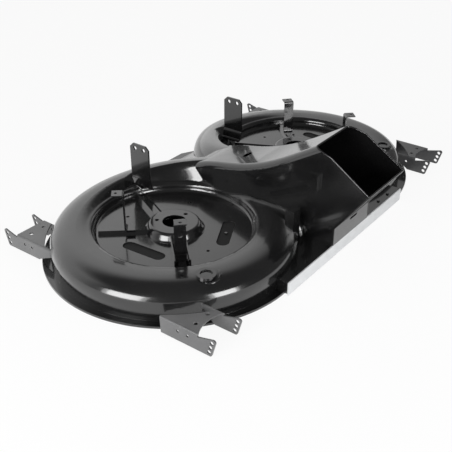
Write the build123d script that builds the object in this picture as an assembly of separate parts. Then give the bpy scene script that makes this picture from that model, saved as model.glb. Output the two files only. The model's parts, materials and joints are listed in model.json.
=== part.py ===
from build123d import *
import os
from math import atan, cos, degrees, radians, sin

# Bare cutting deck of a two-blade ride-on mower, welded from pressed sheet steel. Millimetres.
# While it is built, x points to the machine's right, y to its front and z up. The rim lies on z = 0,
# the deck is symmetric about x = 0 and the spindles stand on y = 0. At the end the whole deck moves
# so that the origin is the middle of its footprint on the ground.

# Sheet thicknesses, seats and cuts
SHELL_WALL = 2.5
PANEL_WALL = 2.5
CARRIER_WALL = 3.0
BRACKET_WALL = 3.0
POST_WALL = 2.5
LIFT_WALL = 4.0
SEAT_GAP = 0.2
CUT_MARGIN = 1.0

# Blade pans
SPINDLE_SPACING = 490.0
PAN_RADIUS = 268.0
SHOULDER_HEIGHT = 30.0
SHOULDER_FULLNESS = 0.7
CROWN_RADIUS = 210.0
CROWN_HEIGHT = 71.0
CROWN_FLAT = 14.0
FLOOR_HEIGHT = 50.0
RECESS_RADIUS = 172.0
RECESS_DRAFT = 14.0
FOOT_ROUND = 7.0
FOOT_DIP = 1.0
LIP_HEIGHT = 69.5
LIP_ROUND = 8.0
LEDGE = 4.0
RIM_RADIUS = 287.0
RIM_LIP = 5.0
RIM_GAP_HALF = 140.0

# Volute: the crown climbs towards the tunnel over the last part of its turn
VOLUTE_START = 160.0
VOLUTE_END = 5.0
VOLUTE_RISE = 57.0
VOLUTE_STEPS = 7
BLEND_RADIUS = 12.0

# Saddle and discharge tunnel
TUNNEL_HALF_FRONT = 66.0
TUNNEL_HALF_REAR = 78.0
TUNNEL_FRONT = 125.0
TUNNEL_FRONT_HEIGHT = 76.0
SADDLE_HEIGHT = 134.0
TUNNEL_FRONT_SLOPE = 2.0
RAMP_START = -110.0
RAMP_START_HEIGHT = 171.0
MOUTH_TOP = -235.0
MOUTH_TOP_HEIGHT = 244.0
MOUTH_SHOULDER = -276.0
MOUTH_SHOULDER_HEIGHT = 234.0
MOUTH_LIP = -369.0
MOUTH_LIP_HEIGHT = 173.0
TUNNEL_FOOT_HEIGHT = 75.0
FOLD_RADIUS = 14.0
WASH_PORT_Y = -18.0
WASH_PORT_LENGTH = 30.0
WASH_PORT_WIDTH = 13.0

# Front filler between the pans, front web, and the rear line of the deck
FILLER_BACK = 90.0
FILLER_BACK_HEIGHT = 102.0
FILLER_FRONT = 240.0
FILLER_FRONT_HEIGHT = 29.0
FILLER_HALF_FRONT = 148.0
WEB_FRONT = 259.0
WEB_HALF = 89.0
WEB_HALF_BACK = 127.0
WEB_CLEAR = 3.0
REAR_LINE = -296.0
SKIRT_HALF = 250.0
SKIRT_CLEAR = 2.0
APRON_HEIGHT = 32.0
PANEL_TOP = 73.0
PANEL_SLOT_X = 7.5
PANEL_SLOT_BELOW_TOP = 5.5
PANEL_SLOT_LENGTH = 31.0
PANEL_SLOT_WIDTH = 5.0
CHEEK_FRONT = -225.0
CHEEK_FRONT_HEIGHT = 60.0
CHEEK_REAR_HEIGHT = 85.0

# Pressed details of each pan
NOTCH_WIDTH = 50.0
NOTCH_LENGTH = 60.0
NOTCH_DRAFT = 30.0
NOTCH_ROUND = 8.0
NOTCH_HEIGHT = 70.0
NOTCH_CORNER = 14.0
POCKET_LENGTH = 104.0
POCKET_WIDTH = 28.0
POCKET_DEPTH = 2.5
POCKET_PLACES = [(108.0, 184.0), (113.0, -63.0)]
SCREWED_POCKET = 1
FLOOR_HOLE_RADIUS = 3.5
FLOOR_HOLE_CIRCLE = 118.0
FLOOR_HOLE_ANGLES = [102.0, 23.0, -104.0]
PAD_X = -369.0
PAD_Y = -185.0
PAD_RADIUS = 20.0
PAD_HEIGHT = 75.0
PAD_RECESS_RADIUS = 13.0
PAD_RECESS_DEPTH = 3.0

# Spindle carriers
BORE_RADIUS = 26.0
CARRIER_HEIGHT = 18.0
BOSS_RADIUS = 50.0
BOSS_FOOT_RADIUS = 66.0
BOSS_WAIST = 59.0
BOSS_WAIST_RISE = 4.0
ARMS = [(64.0, 13.0), (131.0, 8.0), (226.0, 0.0)]  # direction, and sideways step to the left
ARM_HEIGHT = 8.4
ARM_WIDTH = 34.0
ARM_TOP_WIDTH = 15.0
ARM_END_GAP = 2.0
RAIL_ARM = 2
RAIL_HEIGHT = 22.0
FLANGE_HOLE_RADIUS = 4.5
FLANGE_CIRCLE = 38.5
FLANGE_HOLES = 3
SPINDLE_CLEARANCE = 18.0

# Cover posts: the arm each stands on, its distance along it, the way its foot turns, the hole in its face
POST_PLACES = {"front": (1, 104.0, -1, 0.0), "rear": (2, 123.0, 1, 5.0)}
POST_WIDTH = 25.0
POST_TOP = 145.0
POST_FOOT = 20.0
POST_FLANGE = 25.0
POST_BEND = 4.0
POST_HOLE_RADIUS = 3.5
POST_HOLE_FROM_END = 9.0
POST_SIDE_HOLE_DROP = 38.0

# Lift plates
LIFT_X = 180.0
LIFT_Y = 154.5
LIFT_WIDTH = 55.0
LIFT_BEND_HEIGHT = 94.6
LIFT_LEAN = 8.0
LIFT_BEND = 6.0
LIFT_TOP = 181.0
LIFT_FOOT = 9.0
LIFT_CORNER = 9.0
LIFT_HOLE_RADIUS = 4.75
LIFT_HOLE_SPACING = 25.0
LIFT_HOLE_DROP = 11.0

# Gauge wheel brackets
BRACKET_SPAN = 80.5
BRACKET_HEIGHT = 40.5
BRACKET_BOTTOM = 3.5
BRACKET_BEND = 4.0
BRACKET_SLANT_TOP = 22.0
RIM_CLEAR = 5.0
EAR_LENGTH = 43.0
EAR_OVERLAP = 25.0
EAR_NOTCH = 7.0
EAR_RISE = 4.5
EAR_SLANT = 12.0
EAR_CORNER = 5.0
WHEEL_HOLES = 3
WHEEL_HOLE_RADIUS = 4.25
WHEEL_HOLE_PITCH = 11.2
WHEEL_HOLE_INSET = 8.0
WHEEL_HOLE_TOP = 34.5
ARM_HOLE_RADIUS = 3.0
ARM_HOLE_HEIGHT = 25.0
ARM_HOLES_FROM_END = [24.0, 47.0]
PLATE_HOLE_RADIUS = 4.5
PLATE_HOLE_SPACING = 35.0
PLATE_HOLE_FROM_END = 22.0
PLATE_ARC_RADIUS = 72.0
PLATE_ARC_DEPTH = 10.0
# Place of each: distance from the middle, end of its plate, turn, radius of the plate's inner edge
BRACKET_PLACES = {"front": (419.4, 266.0, 0.0, 278.0), "rear": (450.8, 260.0, 180.0, 296.0)}
REAR_FLANGE_START = 144.0
REAR_FLANGE_SLANT = 28.0

# Rear hangers and the tab on the left tunnel wall
HANGER_X = -118.0
HANGER_Y = -222.0
HANGER_SIDE = 21.0
HANGER_FACE = 26.0
HANGER_CAP = 16.0
HANGER_TOP = 106.0
HANGER_FOOT = 45.0
TAB_Y = -228.0
TAB_LENGTH = 27.0
TAB_HEIGHT = 36.0
TAB_BASE = 152.0
TAB_FLANGE = 9.0

# Small fasteners: across-corner radius and height of the heads, and their places
BOLT_RADIUS = 5.0
BOLT_HEAD = 3.5
SCREW_RADIUS = 3.5
SCREW_HEAD = 3.0
CHEEK_BOLTS = [(-238.0, 56.0), (-286.0, 74.0), (-286.0, 42.0)]
APRON_SCREWS = [(-205.0, -285.0), (-160.0, -284.0)]
WALL_STUDS = [(-154.0, 166.0), (-208.0, 157.0), (-97.0, 130.0), (-140.0, 130.0)]

HUB_X = SPINDLE_SPACING / 2
ARM_REACH = RECESS_RADIUS - FOOT_ROUND - ARM_END_GAP
TALL = 2 * MOUTH_TOP_HEIGHT
UP = (Align.CENTER, Align.CENTER, Align.MIN)
RISE_PER_RUN = (TUNNEL_HALF_REAR - TUNNEL_HALF_FRONT) / (TUNNEL_FRONT - MOUTH_LIP)


def face_on(plane, *edges):
    """A flat face bounded by edges drawn in the plane's own x and y."""
    return plane * make_face(Wire(list(edges)))


def outline(plane, points):
    """A flat face on the plane with straight edges through the points."""
    return plane * make_face(Polyline(*points, close=True))


def upright(angle):
    """The plane through the z axis whose own x points along the angle and whose own y points up."""
    direction = (cos(radians(angle)), sin(radians(angle)), 0)
    return Plane(origin=(0, 0, 0), x_dir=direction, z_dir=(direction[1], -direction[0], 0))


def peg(radius, bottom, top):
    """An upright cylinder between two heights."""
    return Pos(0, 0, bottom) * Cylinder(radius, top - bottom, align=UP)


def block(x, y, z):
    """A box between pairs of limits along each axis."""
    size = (x[1] - x[0], y[1] - y[0], z[1] - z[0])
    return Pos(x[0], y[0], z[0]) * Box(*size, align=(Align.MIN, Align.MIN, Align.MIN))


def mirrored(shape):
    """The same shape on the other side of the deck."""
    return mirror(shape, Plane.YZ)


def both_sides(shape):
    return shape + mirrored(shape)


def at_hub(shape):
    return Pos(-HUB_X, 0, 0) * shape


def tunnel_half(y):
    """Half width of the tunnel, which widens evenly towards its mouth."""
    return TUNNEL_HALF_FRONT + RISE_PER_RUN * (TUNNEL_FRONT - y)


def crown_height(angle):
    """The crown stays level and then rises with the square of the angle turned past the start."""
    turned = max(0.0, (VOLUTE_START - angle) / (VOLUTE_START - VOLUTE_END))
    return CROWN_HEIGHT + VOLUTE_RISE * turned ** 2


def crown_section(angle, height, inset):
    """Section of the crown at one angle round the spindle, inset from the outside by the sheet."""
    along = Vector(sin(radians(RECESS_DRAFT)), cos(radians(RECESS_DRAFT)))
    sheet = Vector(RECESS_RADIUS, FLOOR_HEIGHT) + Vector(along.Y, -along.X) * inset
    foot = sheet + along * ((FLOOR_HEIGHT - inset - sheet.Y) / along.Y)
    lip = sheet + along * ((LIP_HEIGHT - inset - sheet.Y) / along.Y)
    low = foot - Vector(FOOT_ROUND + inset, FOOT_DIP)
    rise = foot + along * (FOOT_ROUND + inset)
    turn_out = lip - along * (LIP_ROUND - inset)
    wall_run = (LIP_HEIGHT - FLOOR_HEIGHT) * along.X / along.Y
    ledge = Vector(RECESS_RADIUS + wall_run + LIP_ROUND + inset, lip.Y)
    top = height - inset
    wall = PAN_RADIUS - inset
    base = 0.0 if inset == 0 else -CUT_MARGIN
    crown = Vector(CROWN_RADIUS, top)
    shoulder = Vector(wall, SHOULDER_HEIGHT)
    reach = Vector(CROWN_RADIUS + SHOULDER_FULLNESS * (wall - CROWN_RADIUS), top)
    turn = Vector(wall, SHOULDER_HEIGHT + SHOULDER_FULLNESS * (top - SHOULDER_HEIGHT))
    return face_on(
        upright(angle),
        Line((low.X, base), low),
        Bezier(low, foot, rise),
        Line(rise, turn_out),
        Bezier(turn_out, lip, ledge),
        Bezier(ledge, ledge + Vector(LEDGE, 0), crown - Vector(CROWN_FLAT, 0), crown),
        Bezier(crown, reach, turn, shoulder),
        Line(shoulder, (wall, base)),
        Line((wall, base), (low.X, base)),
    )


def left_pan(inset):
    """Solid under one pan: level crown by revolving, climbing crown by lofting, and the floor disc."""
    turned = VOLUTE_START - VOLUTE_END
    level = revolve(crown_section(VOLUTE_START, CROWN_HEIGHT, inset), Axis.Z, 360 - turned)
    angles = [VOLUTE_START - turned * i / VOLUTE_STEPS for i in range(VOLUTE_STEPS + 1)]
    climbing = loft([crown_section(a, crown_height(a), inset) for a in angles])
    base = 0.0 if inset == 0 else -CUT_MARGIN
    floor = peg(RECESS_RADIUS, base, FLOOR_HEIGHT - inset)
    return at_hub(level + climbing + floor)


def tunnel_body(inset):
    """Saddle and tunnel: a long roof curve carried across, cut by the two flaring walls, folds rounded."""
    base = 0.0 if inset == 0 else -CUT_MARGIN
    front = TUNNEL_FRONT - inset
    ramp = Vector(-1, (MOUTH_TOP_HEIGHT - RAMP_START_HEIGHT) / (RAMP_START - MOUTH_TOP))
    past_lip = MOUTH_TOP - MOUTH_LIP + PANEL_WALL + CUT_MARGIN
    beyond = Vector(MOUTH_TOP, MOUTH_TOP_HEIGHT - inset) + ramp * past_lip
    roof = Spline(
        (front, TUNNEL_FRONT_HEIGHT - inset),
        (0, SADDLE_HEIGHT - inset),
        (RAMP_START, RAMP_START_HEIGHT - inset),
        (MOUTH_TOP, MOUTH_TOP_HEIGHT - inset),
        beyond,
        tangents=[(-1, TUNNEL_FRONT_SLOPE), ramp.normalized()],
    )
    side = face_on(
        Plane.YZ,
        roof,
        Line(beyond, (beyond.X, base)),
        Line((beyond.X, base), (front, base)),
        Line((front, base), (front, TUNNEL_FRONT_HEIGHT - inset)),
    )
    plan = outline(
        Plane.XY.offset(base),
        [
            (-tunnel_half(front) + inset, front),
            (tunnel_half(front) - inset, front),
            (tunnel_half(beyond.X) - inset, beyond.X),
            (-tunnel_half(beyond.X) + inset, beyond.X),
        ],
    )
    body = extrude(side, amount=2 * TUNNEL_HALF_REAR, both=True) & extrude(plan, amount=TALL)
    folds = body.edges().filter_by(GeomType.BSPLINE)
    return fillet(folds, FOLD_RADIUS - inset)


def tunnel_side():
    """What stays of the tunnel seen from the side: it ends at the mouth and at the rear line."""
    return extrude(
        outline(
            Plane.YZ,
            [
                (TUNNEL_FRONT, -CUT_MARGIN),
                (TUNNEL_FRONT, TALL),
                (MOUTH_TOP, TALL),
                (MOUTH_TOP, MOUTH_TOP_HEIGHT),
                (MOUTH_SHOULDER, MOUTH_SHOULDER_HEIGHT),
                (MOUTH_LIP, MOUTH_LIP_HEIGHT),
                (REAR_LINE, TUNNEL_FOOT_HEIGHT),
                (REAR_LINE, -CUT_MARGIN),
            ],
        ),
        amount=2 * TUNNEL_HALF_REAR,
        both=True,
    )


def filler(inset):
    """Sloping wedge that closes the valley between the pans in front of the saddle."""
    base = 0.0 if inset == 0 else -CUT_MARGIN
    side = outline(
        Plane.YZ,
        [
            (FILLER_BACK, base),
            (FILLER_BACK, FILLER_BACK_HEIGHT - inset),
            (FILLER_FRONT - inset, FILLER_FRONT_HEIGHT - inset),
            (FILLER_FRONT - inset, base),
        ],
    )
    back = TUNNEL_HALF_FRONT - inset
    front = FILLER_HALF_FRONT - inset
    plan = outline(
        Plane.XY.offset(base),
        [(-back, FILLER_BACK), (back, FILLER_BACK), (front, FILLER_FRONT), (-front, FILLER_FRONT)],
    )
    return extrude(side, amount=FILLER_HALF_FRONT, both=True) & extrude(plan, amount=TALL)


def rim():
    """Turned-out rim of one pan with a small upright lip, left out where the deck is closed between pans."""
    ring = peg(RIM_RADIUS, 0, RIM_LIP) - peg(RIM_RADIUS - SHELL_WALL, SHELL_WALL, RIM_LIP)
    ring -= peg(PAN_RADIUS - SHELL_WALL, 0, SHELL_WALL)
    gap = block((-RIM_GAP_HALF, RIM_GAP_HALF), (-RIM_RADIUS, RIM_RADIUS), (0, RIM_LIP))
    return at_hub(ring) - gap


def notch(inset):
    """Flat seat pressed into the crown for the lift plate, with sides that lean outwards."""
    plan = RectangleRounded(NOTCH_WIDTH + 2 * inset, NOTCH_LENGTH + 2 * inset, NOTCH_CORNER + inset)
    seat = extrude(plan, amount=VOLUTE_RISE, taper=-NOTCH_DRAFT)
    return Pos(-LIFT_X, LIFT_Y, NOTCH_HEIGHT - inset) * seat


def pockets(inset):
    """Two long shallow pockets pressed into the pan floor."""
    plan = SlotOverall(POCKET_LENGTH + 2 * inset, POCKET_WIDTH + 2 * inset)
    depth = FLOOR_HEIGHT - POCKET_DEPTH - inset
    pocket = Pos(0, 0, depth) * extrude(plan, amount=POCKET_DEPTH + inset + CUT_MARGIN)
    across = Rot(0, 0, 90) * pocket
    return [at_hub(Rot(0, 0, angle) * Pos(radius, 0, 0) * across) for radius, angle in POCKET_PLACES]


def seated_pan(inset):
    """The left pan with the lift plate's seat pressed in and the rims of the seat rounded."""
    pan, cut = left_pan(inset), notch(inset)
    seated = pan - cut
    rims = new_edges(pan, cut, combined=seated).filter_by(lambda e: (e @ 0.5).Z > NOTCH_HEIGHT)
    return fillet(rims, NOTCH_ROUND - inset)


def skin(inset):
    """Everything under the outside of the deck, inset by the sheet."""
    left = seated_pan(inset) - pockets(inset)
    return both_sides(left) + filler(inset)


def floor_openings():
    """Spindle opening and small holes through one pan floor."""
    bottom, top = 0, FLOOR_HEIGHT + CUT_MARGIN
    openings = [peg(BORE_RADIUS + SPINDLE_CLEARANCE, bottom, top)]
    for angle in FLOOR_HOLE_ANGLES:
        place = Rot(0, 0, angle) * Pos(FLOOR_HOLE_CIRCLE, 0, 0)
        openings.append(place * peg(FLOOR_HOLE_RADIUS, bottom, top))
    return [at_hub(o) for o in openings]


def crown_pad():
    """Round pad raised from the crown, flat on top, with an eight-sided recess in the middle."""
    pad = peg(PAD_RADIUS, FLOOR_HEIGHT, PAD_HEIGHT)
    recess = extrude(RegularPolygon(PAD_RECESS_RADIUS, 8), amount=PAD_RECESS_DEPTH)
    return Pos(PAD_X, PAD_Y, 0) * (pad - Pos(0, 0, PAD_HEIGHT - PAD_RECESS_DEPTH) * recess)


def deck_outside():
    """Pans, filler and tunnel in one, the hollow corner rounded where each pan climbs into the tunnel."""
    body = skin(0) + (tunnel_body(0) & tunnel_side())
    wall = tunnel_half(RAMP_START)
    corners = [(side * wall, RAMP_START, CROWN_HEIGHT) for side in (-1, 1)]
    edges = [body.edges().sort_by_distance(corner)[0] for corner in corners]
    return fillet(edges, BLEND_RADIUS)


def deck_shell(outside):
    """The pressed skin: outside less inside, with rim, raised pads and openings."""
    inside = skin(SHELL_WALL) + tunnel_body(SHELL_WALL)
    shell = outside + both_sides(rim()) + both_sides(crown_pad()) - inside
    for opening in floor_openings():
        shell -= both_sides(opening)
    port = extrude(SlotOverall(WASH_PORT_LENGTH, WASH_PORT_WIDTH), amount=TALL)
    return shell - Pos(0, WASH_PORT_Y, FLOOR_HEIGHT) * port


def folded(plane, points, wall, bend, width):
    """A strip bent along a line of points: the line is thickened by the sheet and carried across."""
    path = FilletPolyline(*points, radius=bend)
    section = make_face(offset(path, amount=wall, side=Side.RIGHT))
    return extrude(plane * section, amount=width / 2, both=True)


def crosswise(x, y, z, radius, length):
    """A round cutter lying along x, centred on a point."""
    return Pos(x, y, z) * Rot(0, 90, 0) * Cylinder(radius, 2 * length)


def group(shapes):
    """Separate pieces kept as one."""
    return shapes[0] + shapes[1:]


def head(radius, height):
    """Six-sided head of a bolt or screw, standing on its seat."""
    return extrude(RegularPolygon(radius, 6), amount=height)


def tunnel_rear_wall():
    """Sloping plate on the rear edges of the tunnel walls, from the rear panel up to the mouth's lip."""
    foot = Vector(REAR_LINE, TUNNEL_FOOT_HEIGHT)
    lip = Vector(MOUTH_LIP, MOUTH_LIP_HEIGHT)
    along = (lip - foot).normalized()
    out = Vector(-along.Y, along.X) * PANEL_WALL
    section = outline(Plane.YZ, [foot, lip, lip + out, foot + out])
    return extrude(section, amount=TUNNEL_HALF_REAR, both=True)


def rear_panel():
    """Upright plate under the tunnel mouth, with one long slot near its top edge."""
    half = tunnel_half(REAR_LINE)
    plate = block((-half, half), (REAR_LINE - PANEL_WALL, REAR_LINE), (APRON_HEIGHT, PANEL_TOP))
    slot = Plane.XZ * SlotOverall(PANEL_SLOT_LENGTH, PANEL_SLOT_WIDTH)
    cutter = extrude(slot, amount=TALL, both=True)
    return plate - Pos(PANEL_SLOT_X, 0, PANEL_TOP - PANEL_SLOT_BELOW_TOP) * cutter


def rear_skirt():
    """Straight strip along the back of the deck."""
    return block((-SKIRT_HALF, SKIRT_HALF), (REAR_LINE - PANEL_WALL, REAR_LINE), (SKIRT_CLEAR, APRON_HEIGHT))


def left_apron(outside):
    """Flat plate between pan, tunnel and skirt, turned down at its outer end."""
    deep = (REAR_LINE, -RECESS_RADIUS)
    top = block((-SKIRT_HALF, 0), deep, (APRON_HEIGHT - PANEL_WALL, APRON_HEIGHT))
    end = block((-SKIRT_HALF, -SKIRT_HALF + PANEL_WALL), deep, (RIM_LIP + SEAT_GAP, APRON_HEIGHT))
    return top + end - outside


def front_web(outside):
    """Folded tray that bridges the pans in front: flat on top, turned down along its front edges."""
    def plan(inset):
        back = FILLER_FRONT - inset
        front = WEB_FRONT - inset
        corners = [(-WEB_HALF, front), (WEB_HALF, front), (WEB_HALF_BACK, back), (-WEB_HALF_BACK, back)]
        return outline(Plane.XY.offset(WEB_CLEAR), corners)

    height = FILLER_FRONT_HEIGHT - WEB_CLEAR
    tray = extrude(plan(0), amount=height) - extrude(plan(PANEL_WALL), amount=height - PANEL_WALL)
    return tray - outside


def left_cheek(outside):
    """Plate lapped on the foot of the tunnel wall, from the pan to the rear line."""
    side = outline(
        Plane.YZ,
        [
            (CHEEK_FRONT, APRON_HEIGHT),
            (CHEEK_FRONT, CHEEK_FRONT_HEIGHT),
            (REAR_LINE, CHEEK_REAR_HEIGHT),
            (REAR_LINE, APRON_HEIGHT),
        ],
    )
    near, far = tunnel_half(CHEEK_FRONT), tunnel_half(REAR_LINE)
    lap = outline(
        Plane.XY,
        [
            (-near - PANEL_WALL, CHEEK_FRONT),
            (-near, CHEEK_FRONT),
            (-far, REAR_LINE),
            (-far - PANEL_WALL, REAR_LINE),
        ],
    )
    return (extrude(side, amount=-2 * TUNNEL_HALF_REAR) & extrude(lap, amount=TALL)) - outside


def on_arm(number):
    """Place on the middle line of a carrier arm, with x pointing outwards along it."""
    direction, step = ARMS[number]
    return Rot(0, 0, direction) * Pos(0, step, 0)


def carrier_body(inset):
    """Boss with a swept-in waist and three low arms, inset from the outside by the sheet."""
    height = CARRIER_HEIGHT - inset
    foot, waist, top = [r - inset for r in (BOSS_FOOT_RADIUS, BOSS_WAIST, BOSS_RADIUS)]
    flank = Bezier((foot, 0), (waist, BOSS_WAIST_RISE), (waist, height), (top, height))
    corners = [(top, height), (0, height), (0, 0), (foot, 0)]
    half = face_on(Plane.XZ, flank, *[Line(a, b) for a, b in zip(corners, corners[1:])])
    body = Pos(0, 0, FLOOR_HEIGHT) * revolve(half, Axis.Z)
    low, high = ARM_WIDTH / 2 - inset, ARM_TOP_WIDTH / 2 - inset
    section = [(-low, 0), (low, 0), (high, ARM_HEIGHT - inset), (-high, ARM_HEIGHT - inset)]
    arm = extrude(outline(Plane.YZ, section), amount=ARM_REACH - inset)
    for number in range(len(ARMS)):
        body += Pos(0, 0, FLOOR_HEIGHT) * on_arm(number) * arm
    return body


def left_carrier():
    """Pressed spindle carrier, open underneath, with a rail each side of one arm, bore and flange holes."""
    carrier = carrier_body(0) - carrier_body(CARRIER_WALL)
    span = (BOSS_FOOT_RADIUS, ARM_REACH)
    rail = block(span, (-CARRIER_WALL, 0), (FLOOR_HEIGHT, FLOOR_HEIGHT + RAIL_HEIGHT))
    rails = Pos(0, ARM_WIDTH / 2, 0) * rail + Pos(0, CARRIER_WALL - ARM_WIDTH / 2, 0) * rail
    carrier += on_arm(RAIL_ARM) * rails
    top = FLOOR_HEIGHT + CARRIER_HEIGHT + CUT_MARGIN
    carrier -= peg(BORE_RADIUS, FLOOR_HEIGHT, top)
    for i in range(FLANGE_HOLES):
        place = Rot(0, 0, 360 * i / FLANGE_HOLES) * Pos(FLANGE_CIRCLE, 0, 0)
        carrier -= place * peg(FLANGE_HOLE_RADIUS, FLOOR_HEIGHT, top)
    return at_hub(carrier)


def left_post(arm, distance, way, side_hole):
    """Bent strip that stands on a carrier arm: foot outwards or inwards, drilled top flange outwards."""
    foot = FLOOR_HEIGHT + ARM_HEIGHT + (POST_WALL if way < 0 else 0)
    line = [
        (distance + way * POST_FOOT, foot),
        (distance, foot),
        (distance, POST_TOP),
        (distance + POST_FLANGE, POST_TOP),
    ]
    post = folded(upright(0), line, POST_WALL, POST_BEND, POST_WIDTH)
    hole = peg(POST_HOLE_RADIUS, POST_TOP - POST_FOOT, TALL)
    post -= Pos(distance + POST_FLANGE - POST_HOLE_FROM_END, 0, 0) * hole
    if side_hole > 0:
        post -= crosswise(distance, 0, POST_TOP - POST_SIDE_HOLE_DROP, side_hole, POST_FOOT)
    return at_hub(on_arm(arm) * post)


def left_lift_plate():
    """Upright plate bent from a foot in the crown's seat, with two pin holes and cut top corners."""
    line = [
        (LIFT_LEAN + LIFT_FOOT, NOTCH_HEIGHT),
        (LIFT_LEAN, NOTCH_HEIGHT),
        (0, LIFT_BEND_HEIGHT),
        (0, LIFT_TOP),
    ]
    plate = folded(Plane.XZ, line, LIFT_WALL, LIFT_BEND, LIFT_WIDTH)
    half, corner = LIFT_WIDTH / 2, LIFT_CORNER
    front = outline(
        Plane.YZ,
        [
            (-half, 0),
            (half, 0),
            (half, LIFT_TOP - corner),
            (half - corner, LIFT_TOP),
            (corner - half, LIFT_TOP),
            (-half, LIFT_TOP - corner),
        ],
    )
    plate &= extrude(front, amount=TALL, both=True)
    for side in (-1, 1):
        y = side * LIFT_HOLE_SPACING / 2
        plate -= crosswise(0, y, LIFT_TOP - LIFT_HOLE_DROP, LIFT_HOLE_RADIUS, LIFT_WIDTH)
    return Pos(-LIFT_X, LIFT_Y, 0) * plate


def bracket_body(end, arc):
    """Folded channel along y, from inside the rim out to the wheel ears, before it is fitted to the deck."""
    half = BRACKET_SPAN / 2
    channel = block((-half, half), (0, end), (BRACKET_BOTTOM, BRACKET_HEIGHT))
    bends = channel.edges().filter_by(Axis.Y).group_by(Axis.Z)[-1]
    channel = fillet(bends, BRACKET_BEND)
    inner = half - BRACKET_WALL
    channel -= block((-inner, inner), (0, end), (BRACKET_BOTTOM, BRACKET_HEIGHT - BRACKET_WALL))
    tip = end + EAR_LENGTH
    ear_top = BRACKET_HEIGHT + EAR_RISE
    ear = make_face(
        Polyline(
            (end - EAR_OVERLAP, BRACKET_BOTTOM),
            (end - EAR_OVERLAP, BRACKET_HEIGHT - EAR_NOTCH),
            (end, BRACKET_HEIGHT - EAR_NOTCH),
            (tip, ear_top),
            (tip - EAR_SLANT, BRACKET_BOTTOM),
            close=True,
        )
    )
    tips = ear.vertices().sort_by(Axis.X)[-2:]
    ear = extrude(Plane.YZ * fillet(tips, EAR_CORNER), amount=BRACKET_WALL)
    body = channel + Pos(-half, 0, 0) * ear + Pos(inner, 0, 0) * ear
    for i in range(WHEEL_HOLES):
        z = WHEEL_HOLE_TOP - WHEEL_HOLE_PITCH * i
        edge = tip - EAR_SLANT * (ear_top - z) / (ear_top - BRACKET_BOTTOM)
        body -= crosswise(0, edge - WHEEL_HOLE_INSET, z, WHEEL_HOLE_RADIUS, BRACKET_SPAN)
    for back in ARM_HOLES_FROM_END:
        body -= crosswise(0, end - back, ARM_HOLE_HEIGHT, ARM_HOLE_RADIUS, BRACKET_SPAN)
    hole = peg(PLATE_HOLE_RADIUS, 0, TALL)
    for side in (-1, 1):
        body -= Pos(side * PLATE_HOLE_SPACING / 2, end - PLATE_HOLE_FROM_END, 0) * hole
    if arc:
        round_cut = Pos(0, end + PLATE_ARC_RADIUS - PLATE_ARC_DEPTH, 0) * peg(PLATE_ARC_RADIUS, 0, TALL)
        body -= round_cut & block((-inner, inner), (0, tip), (BRACKET_HEIGHT - BRACKET_BEND, TALL))
    return body


def left_bracket(x, end, turn, plate_radius, outside):
    """Wheel bracket at a corner of the left pan: its flanges rise over the rim and meet the pan's wall."""
    place = Pos(-x, 0, 0) * Rot(0, 0, turn)
    rear = turn > 0
    body = bracket_body(end, rear)
    if rear:
        slant = [(0, 0), (REAR_FLANGE_START + REAR_FLANGE_SLANT, 0), (REAR_FLANGE_START, TALL), (0, TALL)]
        outer = extrude(outline(Plane.YZ, slant), amount=BRACKET_SPAN)
        body -= Pos(BRACKET_SPAN / 2 - BRACKET_BEND, 0, 0) * outer
    body = place * body - outside
    flat = BRACKET_SPAN / 2 - BRACKET_BEND
    sheet = (BRACKET_HEIGHT - BRACKET_BEND, TALL)
    body -= place * block((-flat, flat), (0, end), sheet) & at_hub(peg(plate_radius, 0, TALL))
    foot = RIM_RADIUS + RIM_CLEAR
    over_rim = Pos(0, 0, RIM_LIP) * Cone(foot, PAN_RADIUS, BRACKET_SLANT_TOP - RIM_LIP, align=UP)
    return body - at_hub(over_rim) - at_hub(peg(foot, 0, RIM_LIP))


def left_hanger(outside):
    """Angle post with a small cap, fitted to the shoulder at the back of the pan."""
    wall = PANEL_WALL
    tall = (HANGER_FOOT, HANGER_TOP)
    wide = (HANGER_X, HANGER_X + HANGER_FACE)
    side = block((HANGER_X, HANGER_X + wall), (HANGER_Y, HANGER_Y + HANGER_SIDE), tall)
    face = block(wide, (HANGER_Y, HANGER_Y + wall), tall)
    cap = block(wide, (HANGER_Y, HANGER_Y + HANGER_CAP), (HANGER_TOP - wall, HANGER_TOP))
    return side + face + cap - outside


def tunnel_tab(outside):
    """Small angle tab on the left tunnel wall, its flange standing off the wall."""
    rear = TAB_Y - TAB_LENGTH
    wall = tunnel_half(rear)
    tall = (TAB_BASE, TAB_BASE + TAB_HEIGHT)
    plate = block((-wall - PANEL_WALL, 0), (rear, TAB_Y), tall)
    flange = block((-wall - TAB_FLANGE, 0), (rear, rear + PANEL_WALL), tall)
    return plate + flange - outside


def on_left_wall(y, z, lap):
    """Place on the left tunnel wall, or on a plate lapped over it, facing out."""
    flare = degrees(atan(RISE_PER_RUN))
    return Pos(-tunnel_half(y) - lap, y, z) * Rot(0, 0, -flare) * Rot(0, -90, 0)


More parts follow.
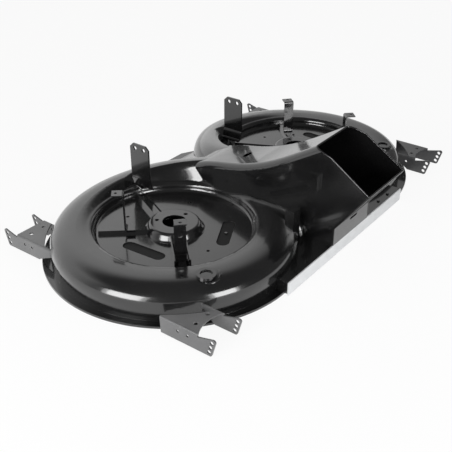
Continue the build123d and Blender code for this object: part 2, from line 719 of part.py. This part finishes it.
def nodes():
    """Every piece of the deck by name."""
    outside = deck_outside()
    made = {
        "deck_shell": deck_shell(outside),
        "tunnel_rear_wall": tunnel_rear_wall(),
        "rear_panel": rear_panel(),
        "rear_skirt": rear_skirt(),
        "front_web": front_web(outside),
        "tunnel_tab": tunnel_tab(outside),
    }
    pairs = {
        "rear_apron": left_apron(outside),
        "chute_cheek": left_cheek(outside),
        "spindle_carrier": left_carrier(),
        "lift_plate": left_lift_plate(),
        "rear_hanger": left_hanger(outside),
    }
    for name, place in POST_PLACES.items():
        pairs[f"{name}_post"] = left_post(*place)
    for name, place in BRACKET_PLACES.items():
        pairs[f"{name}_wheel_bracket"] = left_bracket(*place, outside)
    for name, left in pairs.items():
        made[f"left_{name}"] = left
        made[f"right_{name}"] = mirrored(left)
    bolt = head(BOLT_RADIUS, BOLT_HEAD)
    screw = head(SCREW_RADIUS, SCREW_HEAD)
    bolts = [on_left_wall(y, z, PANEL_WALL) * bolt for y, z in CHEEK_BOLTS]
    screws = [Pos(x, y, APRON_HEIGHT) * screw for x, y in APRON_SCREWS]
    studs = [on_left_wall(y, z, 0) * screw for y, z in WALL_STUDS]
    radius, angle = POCKET_PLACES[SCREWED_POCKET]
    deep = at_hub(Rot(0, 0, angle) * Pos(radius, 0, FLOOR_HEIGHT - POCKET_DEPTH) * screw)
    made["cheek_bolts"] = both_sides(group(bolts))
    made["apron_screws"] = both_sides(group(screws))
    made["pocket_screws"] = both_sides(deep)
    made["wall_studs"] = group(studs)
    return made


def main():
    os.makedirs("parts", exist_ok=True)
    made = nodes()
    boxes = [shape.bounding_box() for shape in made.values()]
    back = min(box.min.Y for box in boxes)
    front = max(box.max.Y for box in boxes)
    bottom = min(box.min.Z for box in boxes)
    to_origin = Pos(0, -(back + front) / 2, -bottom)
    print("moved by", to_origin.position)
    for name, shape in made.items():
        export_step(to_origin * shape, f"parts/{name}.step")


main()
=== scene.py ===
# %% [markdown]
# # A bare mower deck in gloss black
#
# The construction model already holds every plate at its true size. This lesson loads that model as a
# fixed frame, looks at it through the photograph's camera, paints it and lights it like a product
# picture. Small round things that hold the sheets together, the welds and the hem of the mouth, are
# worked out here with numpy as bars along a path.

# %% Load the frame
import json
import math

import bpy
import numpy as np
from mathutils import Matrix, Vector
from mathutils.bvhtree import BVHTree


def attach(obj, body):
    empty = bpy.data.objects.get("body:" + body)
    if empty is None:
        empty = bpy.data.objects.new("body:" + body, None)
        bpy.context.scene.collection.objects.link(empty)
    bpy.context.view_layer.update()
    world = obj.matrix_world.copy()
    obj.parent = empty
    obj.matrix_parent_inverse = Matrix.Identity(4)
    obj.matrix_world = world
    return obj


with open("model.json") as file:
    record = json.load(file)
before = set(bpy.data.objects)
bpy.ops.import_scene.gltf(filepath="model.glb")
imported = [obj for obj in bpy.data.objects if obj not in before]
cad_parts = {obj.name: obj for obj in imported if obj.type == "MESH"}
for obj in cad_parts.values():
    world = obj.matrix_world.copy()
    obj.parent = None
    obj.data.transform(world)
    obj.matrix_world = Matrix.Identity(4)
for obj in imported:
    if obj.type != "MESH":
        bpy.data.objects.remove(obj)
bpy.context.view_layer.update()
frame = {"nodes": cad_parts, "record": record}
nodes = frame["nodes"]

# %% [markdown]
# ## Camera
#
# The photograph was taken from behind the deck's left rear corner with a fairly long lens. The
# spindle bores, plate edges and mirror pairs fix where the camera stood, so its place and its two
# angles are written down and nothing is aimed by eye.

# %% The photograph's camera
MM = 0.001
SPINDLE_LINE = 32.134 * MM  # the spindles stand this far in front of the frame's origin
CAMERA_PLACE = np.array([-1.324, -0.948 + SPINDLE_LINE, 0.9057])
CAMERA_YAW = math.radians(53.15)
CAMERA_PITCH = math.radians(30.7)
FOCAL_PIXELS = 768.2
PICTURE_PIXELS = 452

camera = bpy.data.objects.new("camera", bpy.data.cameras.new("camera"))
bpy.context.scene.collection.objects.link(camera)
camera.location = CAMERA_PLACE
camera.rotation_euler = (math.pi / 2 - CAMERA_PITCH, 0, -CAMERA_YAW)
camera.data.sensor_width = 36.0
camera.data.lens = FOCAL_PIXELS / PICTURE_PIXELS * camera.data.sensor_width
camera.data.clip_end = 50
bpy.context.scene.camera = camera
print("lens", round(camera.data.lens, 2), "mm")

# %% [markdown]
# ## Writing shaders as sums
#
# A material is a small tree of nodes. Wrapping a socket in a class with operators lets the maths
# read like maths: each operator adds one Math node, and one method adds any other node.

# %% A socket that can be added and multiplied
class Shade:
    """A socket in a material. Operators on it add Math nodes; node() adds any other node."""

    def __init__(self, tree, socket=None):
        self.tree = tree
        self.socket = socket

    def node(self, kind, settings=None, out=0, **inputs):
        made = self.tree.nodes.new(kind)
        for name, value in (settings or {}).items():
            if name == "stops":
                while len(made.color_ramp.elements) < len(value):
                    made.color_ramp.elements.new(0.5)
                for element, (place, grey) in zip(made.color_ramp.elements, value):
                    element.position = place
                    element.color = (grey, grey, grey, 1)
            else:
                setattr(made, name, value)
        for name, value in inputs.items():
            key = int(name[1:]) if name[0] == "_" and name[1:].isdigit() else name.replace("_", " ")
            if isinstance(value, Shade):
                self.tree.links.new(value.socket, made.inputs[key])
            else:
                made.inputs[key].default_value = value
        return Shade(self.tree, made.outputs[out])

    def maths(self, operation, first, second=0.0):
        return self.node("ShaderNodeMath", {"operation": operation}, _0=first, _1=second)

    def __add__(self, other):
        return self.maths("ADD", self, other)

    def __sub__(self, other):
        return self.maths("SUBTRACT", self, other)

    def __rsub__(self, other):
        return self.maths("SUBTRACT", other, self)

    def __mul__(self, other):
        return self.maths("MULTIPLY", self, other)

    def __truediv__(self, other):
        return self.maths("DIVIDE", self, other)

    __radd__ = __add__
    __rmul__ = __mul__


def material(name):
    """An empty node material: its tree wrapped as a Shade, and its output node."""
    made = bpy.data.materials.new(name)
    made.use_nodes = True
    made.node_tree.nodes.clear()
    output = made.node_tree.nodes.new("ShaderNodeOutputMaterial")
    return made, Shade(made.node_tree), output


print("shader maths ready")

# %% [markdown]
# ## Gloss black paint
#
# The deck is dipped and stoved in gloss black. Such a coat is almost pure black underneath and gets
# all its tone from what it mirrors, so it is a black base with a clear coat over it. It is never
# quite flat: a faint orange-peel ripple softens the mirror, and dust and handling dull it in patches.
# Bent plates also have edges that are round on a small scale, and a Bevel node turns the shading
# round there, which gives every sheet its thin bright line.

# %% Paint
HUB_X = 245.0 * MM
FLOOR_POCKETS = [(108.0, 184.0), (113.0, -63.0)]  # radius in mm and angle of each pocket's middle
POCKET_LENGTH, POCKET_WIDTH = 104.0 * MM, 28.0 * MM
POCKET_TOP = 49.5 * MM  # just under the pan's floor
EDGE_ROUND = 1.2 * MM
PEEL_DEPTH = 0.4 * MM
DUST_SCALE, PEEL_SCALE = 9.0, 420.0  # features per metre
DUST_DULL, POCKET_DULL = 0.06, 0.45  # added to the roughness
DUST_LIGHTER = 1.8


def pocket_mask(shade, place):
    """One inside the pockets of the pan floors: the distance to a line segment, less half the width."""
    split = [shade.node("ShaderNodeSeparateXYZ", out=i, Vector=place) for i in range(3)]
    x = HUB_X - shade.maths("ABSOLUTE", split[0])
    y = split[1] - SPINDLE_LINE
    inside = 0.0
    for radius, angle in FLOOR_POCKETS:
        c, s = math.cos(math.radians(angle)), math.sin(math.radians(angle))
        out = x * c + y * s - radius * MM
        along = shade.maths("ABSOLUTE", y * c - x * s) - (POCKET_LENGTH - POCKET_WIDTH) / 2
        along = shade.maths("MAXIMUM", along, 0.0)
        distance = shade.maths("SQRT", out * out + along * along)
        inside = shade.maths("LESS_THAN", distance, POCKET_WIDTH / 2) + inside
    return inside * shade.maths("LESS_THAN", split[2], POCKET_TOP)


def black_paint(name, satin, gloss, ripple, grey, pockets=False):
    """Black stoved paint: a satin base under a glossier coat, an orange-peel ripple and a little dust."""
    made, shade, output = material(name)
    place = shade.node("ShaderNodeTexCoord", out=3)
    dust = shade.node("ShaderNodeTexNoise", Vector=place, Scale=DUST_SCALE, Detail=5.0, Roughness=0.6)
    peel = shade.node("ShaderNodeTexNoise", Vector=place, Scale=PEEL_SCALE, Detail=2.0)
    dull = shade.node("ShaderNodeValToRGB", {"stops": [(0.4, 0.0), (0.8, 1.0)]}, Fac=dust)
    edge = shade.node("ShaderNodeBevel", {"samples": 4}, Radius=EDGE_ROUND)
    bump = shade.node("ShaderNodeBump", Strength=ripple, Distance=PEEL_DEPTH, Height=peel, Normal=edge)
    rough = satin + DUST_DULL * dull
    if pockets:
        rough = rough + POCKET_DULL * pocket_mask(shade, place)
    dusty = DUST_LIGHTER * grey
    colour = shade.node(
        "ShaderNodeMix",
        {"data_type": "RGBA"},
        out=2,
        Factor=dull,
        _6=(grey, grey, 1.04 * grey, 1),
        _7=(dusty, dusty, dusty, 1),
    )
    settings = {"Base_Color": colour, "Roughness": rough, "Normal": bump, "IOR": 1.5}
    coat = 1.0 - pocket_mask(shade, place) if pockets else 1.0
    paint = shade.node("ShaderNodeBsdfPrincipled", **settings, Coat_Weight=coat, Coat_Roughness=gloss)
    shade.tree.links.new(paint.socket, output.inputs["Surface"])
    return made


gloss_paint = black_paint("black_paint", satin=0.16, gloss=0.05, ripple=0.03, grey=0.005)
shell_paint = black_paint("shell_paint", satin=0.18, gloss=0.08, ripple=0.03, grey=0.005, pockets=True)
satin_paint = black_paint("satin_paint", satin=0.4, gloss=0.3, ripple=0.25, grey=0.06)
print("paint nodes", len(shell_paint.node_tree.nodes))

# %% [markdown]
# ## Zinc plate
#
# The strip along the back is pale zinc. Zinc is a soft satin metal with a cloudy grain, so its
# roughness drifts and its colour is a cool light grey.

# %% Zinc
def zinc_plate():
    """Pale zinc: a half metallic grey whose colour and roughness follow one cloudy noise."""
    made, shade, output = material("zinc_plate")
    place = shade.node("ShaderNodeTexCoord", out=3)
    cloud = shade.node("ShaderNodeTexNoise", Vector=place, Scale=45.0, Detail=4.0)
    colour = shade.node(
        "ShaderNodeMix",
        {"data_type": "RGBA"},
        out=2,
        Factor=cloud,
        _6=(0.62, 0.63, 0.64, 1),
        _7=(0.78, 0.79, 0.8, 1),
    )
    metal = shade.node(
        "ShaderNodeBsdfPrincipled",
        Base_Color=colour,
        Metallic=0.5,
        Roughness=0.42 + 0.16 * cloud,
    )
    shade.tree.links.new(metal.socket, output.inputs["Surface"])
    return made


zinc = zinc_plate()
print("zinc nodes", len(zinc.node_tree.nodes))

# %% [markdown]
# ## Painting the nodes
#
# The record says which slot each node has, and the slot gives the finish. The shell has its own mix of
# the same paint, because of the dull pockets in its floors. The wheel brackets are duller than the rest
# in the photograph, so they are satin.

# %% Finish of each node
finishes = {"black_paint": gloss_paint, "zinc_plate": zinc}
for entry in frame["record"]["subparts"]:
    finish = finishes[entry["material_slot"]]
    if entry["node"] == "deck_shell":
        finish = shell_paint
    if entry["node"].endswith("wheel_bracket"):
        finish = satin_paint
    mesh = nodes[entry["node"]].data
    mesh.materials.clear()
    mesh.materials.append(finish)
print("painted", len(nodes), "nodes")

# %% [markdown]
# ## Welds and the hem of the mouth
#
# The plates are held by short weld beads, and the raw edge of the mouth is rolled into a thin hem, so
# that it doesn't cut. Both are round bars along a path. A swept curve could make them, but a grid of
# points with one circle for each step of the path also takes the ripple of a weld in the same formula.

# %% A round bar along a path
RIPPLE_PITCH = 1.6  # in radii of the bar
MIRROR = np.array([-1, 1, 1])  # turns a path of the left half into the right one


def bar(path, radius, ripple=0.0, closed=False, turns=12):
    """Points and faces of a round bar: each point of the path plus a circle across the path.

    The circle's radius is the bar's radius times one plus a sine of the way gone, which makes the
    ripples, and it runs out to a small flat tip at both ends of an open path.
    """
    ahead = np.roll(path, -1, 0) - np.roll(path, 1, 0) if closed else np.gradient(path, axis=0)
    ahead = ahead / np.linalg.norm(ahead, axis=1)[:, None]
    least = np.eye(3)[np.abs(ahead).sum(0).argmin()]  # the axis that the path follows least
    side = np.cross(ahead, least)
    side = side / np.linalg.norm(side, axis=1)[:, None]
    over = np.cross(side, ahead)
    way = np.r_[0, np.cumsum(np.linalg.norm(np.diff(path, axis=0), axis=1))]
    thick = radius * (1 + ripple * np.sin(2 * np.pi * way / (RIPPLE_PITCH * radius)))
    if not closed:
        thick = thick * np.sqrt(1.02 - (2 * way / way[-1] - 1) ** 8)
    turn = np.linspace(0, 2 * np.pi, turns, endpoint=False)[:, None]
    ring = np.cos(turn) * side[:, None] + np.sin(turn) * over[:, None]
    points = path[:, None] + thick[:, None, None] * ring
    index = np.arange(len(path) * turns).reshape(len(path), turns)
    tips = [] if closed else [index[0].tolist(), index[-1, ::-1].tolist()]
    index = np.vstack([index, index[:1]]) if closed else index
    index = np.hstack([index, index[:, :1]])
    quads = np.stack([index[:-1, :-1], index[1:, :-1], index[1:, 1:], index[:-1, 1:]], -1)
    return points.reshape(-1, 3), quads.reshape(-1, 4).tolist() + tips


def painted_piece(name, bars):
    """One object from several bars, in the deck's paint and carried by the deck."""
    starts = np.cumsum([0] + [len(points) for points, faces in bars])
    faces = [[start + i for i in face] for start, made in zip(starts, bars) for face in made[1]]
    mesh = bpy.data.meshes.new(name)
    mesh.from_pydata(np.vstack([points for points, _ in bars]).tolist(), [], faces)
    mesh.shade_smooth()
    mesh.materials.append(gloss_paint)
    made = bpy.data.objects.new(name, mesh)
    bpy.context.scene.collection.objects.link(made)
    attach(made, "root")
    print(name, "faces", len(faces))


def both_sides(path, radius, ripple=0.0):
    """The same bar on the left half and on the right half, its radius in millimetres."""
    return [bar(path, radius * MM, ripple), bar(path * MIRROR, radius * MM, ripple)]


def in_frame(points):
    """Construction millimetres, measured from the spindles' line, as metres in the frame."""
    return (np.asarray(points, float) * MM) + np.array([0, SPINDLE_LINE, 0])


def spaced(corners, count, closed=False):
    """Points at even steps along the straight runs between corners."""
    way = np.r_[0, np.cumsum(np.linalg.norm(np.diff(corners, axis=0), axis=1))]
    even = np.linspace(0, way[-1], count, endpoint=not closed)
    return np.stack([np.interp(even, way, corners[:, i]) for i in range(3)], axis=1)


print("bars ready")


# %% [markdown]
# The mouth's edge is a loop: a quarter turn round each fold of the roof, a straight run down each wall
# to the lip, across the rear wall and back. Its points are spaced evenly, and a short running mean
# rounds the corners, as a rolling tool would.

# %% Hem of the mouth
ROOF_EDGE = (-235.0, 242.8)  # y and z in mm, on the middle of the sheet
SHOULDER = (-276.0, 232.8)
LIP = (-370.0, 172.5)
SHOULDER_HALF, LIP_HALF = 74.5, 76.8  # half widths of the mouth
ROOF_FOLD = 14.0
FOLD_POINTS, HEM_POINTS = 12, 420
HEM_RADIUS = 1.8


def mouth_loop():
    """The loop's corners, evenly spaced and rounded: quarter ellipse, lip, and both mirrored."""
    turn = np.linspace(0, np.pi / 2, FOLD_POINTS)
    fold = np.stack(
        [
            -(SHOULDER_HALF - ROOF_FOLD + ROOF_FOLD * np.sin(turn)),
            ROOF_EDGE[0] + (SHOULDER[0] - ROOF_EDGE[0]) * (1 - np.cos(turn)),
            ROOF_EDGE[1] + (SHOULDER[1] - ROOF_EDGE[1]) * (1 - np.cos(turn)),
        ],
        axis=1,
    )
    left = np.vstack([fold, [-LIP_HALF, *LIP]])
    loop = spaced(np.vstack([left, left[::-1] * MIRROR, left[:1]]), HEM_POINTS, closed=True)
    return (np.roll(loop, 1, 0) + loop + np.roll(loop, -1, 0)) / 3


painted_piece("mouth_hem", [bar(in_frame(mouth_loop()), HEM_RADIUS * MM, closed=True)])

# %% [markdown]
# A weld lies in the corner between a plate and the skin. Its path is a line in plan that is dropped on
# to the skin from above, so each bead follows the pressed form without any height being written down.
# The long corners of the rear wall are straight, so they are given by their ends.

# %% Weld beads
WELDS = [  # start and end in plan on the left half, in mm from the spindles' line
    ((-174.0, 129.0), (-174.0, 180.0)),  # foot of the lift plate
    ((-119.5, -222.0), (-119.5, -202.0)),  # side of the hanger
    ((-117.0, -223.5), (-104.0, -223.5)),  # face of the hanger
    ((-78.0, -24.0), (-73.0, -30.0)),  # spots where the tunnel's wall leaves the crown
    ((-128.0, -124.0), (-124.0, -132.0)),
]
REAR_CORNER = [  # lip, foot of the rear wall and foot of the panel under it, where they meet the tunnel
    (-78.0, -370.5, 171.5),
    (-76.4, -298.0, 74.0),
    (-76.4, -298.0, 33.0),
]
WELD_RADIUS, WELD_RIPPLE, WELD_POINTS = 2.6, 0.16, 48
CORNER_RADIUS, CORNER_RIPPLE, CORNER_POINTS = 1.5, 0.1, 160
ABOVE = 400.0  # higher than the deck
skin = BVHTree.FromObject(nodes["deck_shell"], bpy.context.evaluated_depsgraph_get())


def dropped(plan):
    """Points of a path in plan, laid on the skin from above."""
    high = in_frame(np.column_stack([plan, np.full(len(plan), ABOVE)]))
    return np.array([skin.ray_cast(Vector(point), Vector((0, 0, -1)))[0] for point in high])


beads = []
for start, end in WELDS:
    beads += both_sides(dropped(np.linspace(start, end, WELD_POINTS)), WELD_RADIUS, WELD_RIPPLE)
corner = in_frame(spaced(np.array(REAR_CORNER), CORNER_POINTS))
painted_piece("weld_beads", beads + both_sides(corner, CORNER_RADIUS, CORNER_RIPPLE))

# %% [markdown]
# Beside the round pad on the rear of each crown the press has left a raised curl. It is a bar again,
# along an arc that opens away from the pad, sunk half into the skin.

# %% Curl beside the pad
PAD = np.array([-369.0, -185.0])  # the pad's middle in plan
CURL_FROM, CURL_TO = -150.0, -15.0  # degrees round the pad
CURL_NEAR, CURL_FAR = 21.0, 29.0  # distance from the pad's middle at both ends
CURL_RADIUS, CURL_POINTS = 2.4, 48

turn = np.radians(np.linspace(CURL_FROM, CURL_TO, CURL_POINTS))
reach = np.linspace(CURL_NEAR, CURL_FAR, CURL_POINTS)
arc = PAD + reach[:, None] * np.column_stack([np.cos(turn), np.sin(turn)])
painted_piece("pad_curls", both_sides(dropped(arc), CURL_RADIUS))

# %% [markdown]
# ## Floor
#
# A catalogue picture stands the part on white. The floor glows white where the camera or a mirror sees
# it and keeps a share of real light, so that the deck still has a soft shadow. Under the deck the glow
# ends and the floor's colour turns dark grey, a painted shade where the blade pans cover it. Mirrors
# see less of the glow on the right, a painted fall-off of the lamps' light.

# %% White floor
SOFT = {"interpolation_type": "SMOOTHSTEP"}
FLOOR_HALF = 12.0
COVERED, OPEN = 0.235, 0.285  # distance from the pans' middle line: under the deck, and clear of it
# the second grey is painted shade: the floor's colour under the deck, where the pans shade it
FLOOR_GREY, PAINTED_SHADE_GREY = 0.85, 0.07
GLOW_SHARE = 0.9
# painted light: the glow that mirrors see is brighter on the lamps' side and fades towards the right
DIM_X, BRIGHT_X, DIM_GLOW = 0.3, -0.4, 0.3  # the mirrored glow fades towards the right


def flat_square(name, half):
    """A flat square on the ground, centred on the origin."""
    mesh = bpy.data.meshes.new(name)
    corners = np.array([[-1, -1, 0], [1, -1, 0], [1, 1, 0], [-1, 1, 0]]) * half
    mesh.from_pydata(corners.tolist(), [], [(0, 1, 2, 3)])
    made = bpy.data.objects.new(name, mesh)
    bpy.context.scene.collection.objects.link(made)
    return made


def white_floor():
    """Pale ground with a white glow for camera and mirrors, and painted shade under the pans by their
    distance.
    """
    made, shade, output = material("white_floor")
    place = shade.node("ShaderNodeTexCoord", out=3)
    split = [shade.node("ShaderNodeSeparateXYZ", out=i, Vector=place) for i in range(2)]
    x = shade.maths("MAXIMUM", shade.maths("ABSOLUTE", split[0]) - HUB_X, 0.0)  # beyond the hubs
    y = split[1] - SPINDLE_LINE
    away = shade.maths("SQRT", x * x + y * y)
    open_floor = shade.node("ShaderNodeMapRange", SOFT, Value=away, From_Min=COVERED, From_Max=OPEN)
    lit = shade.node("ShaderNodeBsdfDiffuse", Color=(FLOOR_GREY, FLOOR_GREY, FLOOR_GREY, 1))
    # painted shade under the deck: a dark grey floor colour where the pans would cast shadow
    dark = shade.node("ShaderNodeBsdfDiffuse", Color=(PAINTED_SHADE_GREY, PAINTED_SHADE_GREY, PAINTED_SHADE_GREY, 1))
    glow = shade.node("ShaderNodeEmission", Color=(1, 1, 1, 1), Strength=1.0)
    lit = shade.node("ShaderNodeMixShader", _0=open_floor, _1=dark, _2=lit)
    camera_ray, mirror_ray = [shade.node("ShaderNodeLightPath", out=i) for i in (0, 3)]
    # painted fall-off of lamp light on the mirrored glow
    painted_lamp_falloff = shade.node(
        "ShaderNodeMapRange",
        SOFT,
        Value=split[0],
        From_Min=DIM_X,
        From_Max=BRIGHT_X,
        To_Min=DIM_GLOW,
        To_Max=1.0,
    )
    seen = shade.maths("MAXIMUM", camera_ray, mirror_ray * painted_lamp_falloff)
    # the glow ends under the deck, so the painted shade shows there
    mixed = shade.node("ShaderNodeMixShader", _0=GLOW_SHARE * seen * open_floor, _1=lit, _2=glow)
    shade.tree.links.new(mixed.socket, output.inputs["Surface"])
    return made


floor = flat_square("floor", FLOOR_HALF)
floor.data.materials.append(white_floor())
print("floor half size", FLOOR_HALF, "m")

# %% [markdown]
# ## Studio world
#
# To the camera the world is plain white. To the paint it is a studio: a white wall behind the deck, a
# dimmer ceiling and a dark side where the camera stands, because a black part needs dark to mirror as
# much as light. A picture of a studio could do this, but two soft steps on the direction are enough.

# %% Studio
WALL_BEARING = 85.0  # degrees from +X towards +Y: the middle of the white wall behind the deck
WALL_OUTSIDE, WALL_INSIDE = 0.2, 0.92  # cosine of the angle from that middle
CEILING_FROM, CEILING_TO = 0.62, 0.85  # sine of the height at which the wall ends
DARK_SIDE = 0.12
SOFT_LIGHT = 0.5

world = bpy.data.worlds.new("studio")
bpy.context.scene.world = world
world.use_nodes = True
world.node_tree.nodes.clear()
air = Shade(world.node_tree)
toward = air.node("ShaderNodeTexCoord", out=0)
east, north, height = [air.node("ShaderNodeSeparateXYZ", out=i, Vector=toward) for i in range(3)]
level = air.maths("SQRT", east * east + north * north) + 0.001
wall_turn = math.radians(WALL_BEARING)
facing = (east * math.cos(wall_turn) + north * math.sin(wall_turn)) / level
wall = air.node("ShaderNodeMapRange", SOFT, Value=facing, From_Min=WALL_OUTSIDE, From_Max=WALL_INSIDE)
below = air.node("ShaderNodeMapRange", SOFT, Value=height, From_Min=CEILING_TO, From_Max=CEILING_FROM)
studio = DARK_SIDE + (1.0 - DARK_SIDE) * wall * below
by_camera, by_mirror = [air.node("ShaderNodeLightPath", out=i) for i in (0, 3)]
unseen = by_mirror * studio + (1.0 - by_mirror) * SOFT_LIGHT
strength = by_camera + (1.0 - by_camera) * unseen
glow = air.node("ShaderNodeBackground", Color=(1, 1, 1, 1), Strength=strength)
world_out = world.node_tree.nodes.new("ShaderNodeOutputWorld")
world.node_tree.links.new(glow.socket, world_out.inputs["Surface"])
print("world nodes", len(world.node_tree.nodes))

# %% [markdown]
# ## Lamps
#
# Two upright soft boxes stand low at the left and behind the deck. The streaks on the near shoulder are
# their mirror images. Each is a dim cloth with a brighter core in front of it, so that a streak has a
# bright middle and fades at its edges, as light through cloth does.

# %% Soft boxes
LAMPS = [("left", 178.0, 1.5), ("rear", -106.0, 1.1)]  # bearing in degrees, width in metres
CLOTH = {"distance": 2.4, "height": 0.6, "tall": 1.2, "radiance": 3.0}
CORE = {"distance": 2.3, "height": 0.6, "tall": 1.1, "radiance": 7.0}
CORE_SHARE = 0.7  # of the cloth's width
AIM = Vector((0, 0, 0.05))


def soft_box(name, bearing, width, distance, height, tall, radiance):
    """An upright soft box on a circle round the deck, turned to its middle, bright by its radiance."""
    lamp = bpy.data.lights.new(name, "AREA")
    lamp.shape = "RECTANGLE"
    lamp.size, lamp.size_y, lamp.energy = width, tall, radiance * math.pi * width * tall
    made = bpy.data.objects.new(name, lamp)
    turn = math.radians(bearing)
    place = Vector((distance * math.cos(turn), distance * math.sin(turn), height))
    made.location = place
    made.rotation_euler = (AIM - place).to_track_quat("-Z", "Y").to_euler()
    bpy.context.scene.collection.objects.link(made)


for name, bearing, width in LAMPS:
    soft_box(f"{name}_cloth", bearing, width, **CLOTH)
    soft_box(f"{name}_core", bearing, CORE_SHARE * width, **CORE)
bpy.context.scene.view_settings.view_transform = "Standard"
